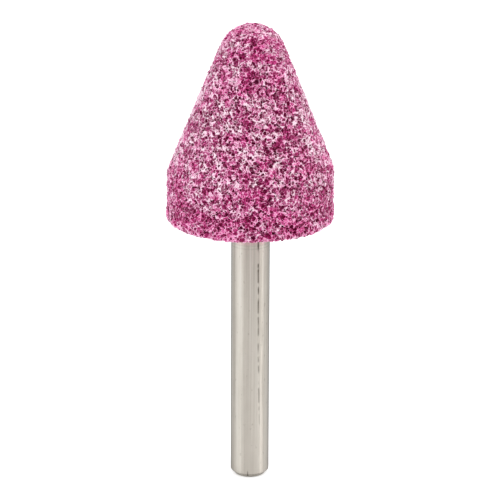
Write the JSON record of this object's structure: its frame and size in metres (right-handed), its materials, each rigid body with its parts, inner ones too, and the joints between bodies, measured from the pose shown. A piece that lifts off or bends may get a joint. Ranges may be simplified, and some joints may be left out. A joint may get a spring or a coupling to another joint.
{
  "type": "mounted point",
  "caption": "Cone-shaped bonded abrasive head with a rounded tip and a short cylindrical base, cemented on a plain steel shank for a rotary grinder's collet.",
  "frame": {"origin": "centre of the shank's flat end face, which is the lowest face", "axes": "+Z along the common axis of shank and head, from the shank's free end to the tip of the head; X and Y are equivalent"},
  "size_m": [0.0254, 0.0254, 0.0728],
  "materials": {
    "abrasive": "coarse open grain, pink to ruby grains in a pale bond",
    "shank_steel": "ground bar, satin, faint lengthwise lines",
    "cement": "dull fine-grained cement"
  },
  "bodies": {
    "root": {"abrasive_head": "abrasive", "shank": "shank_steel", "cement_bond": "cement"}
  },
  "joints": []
}
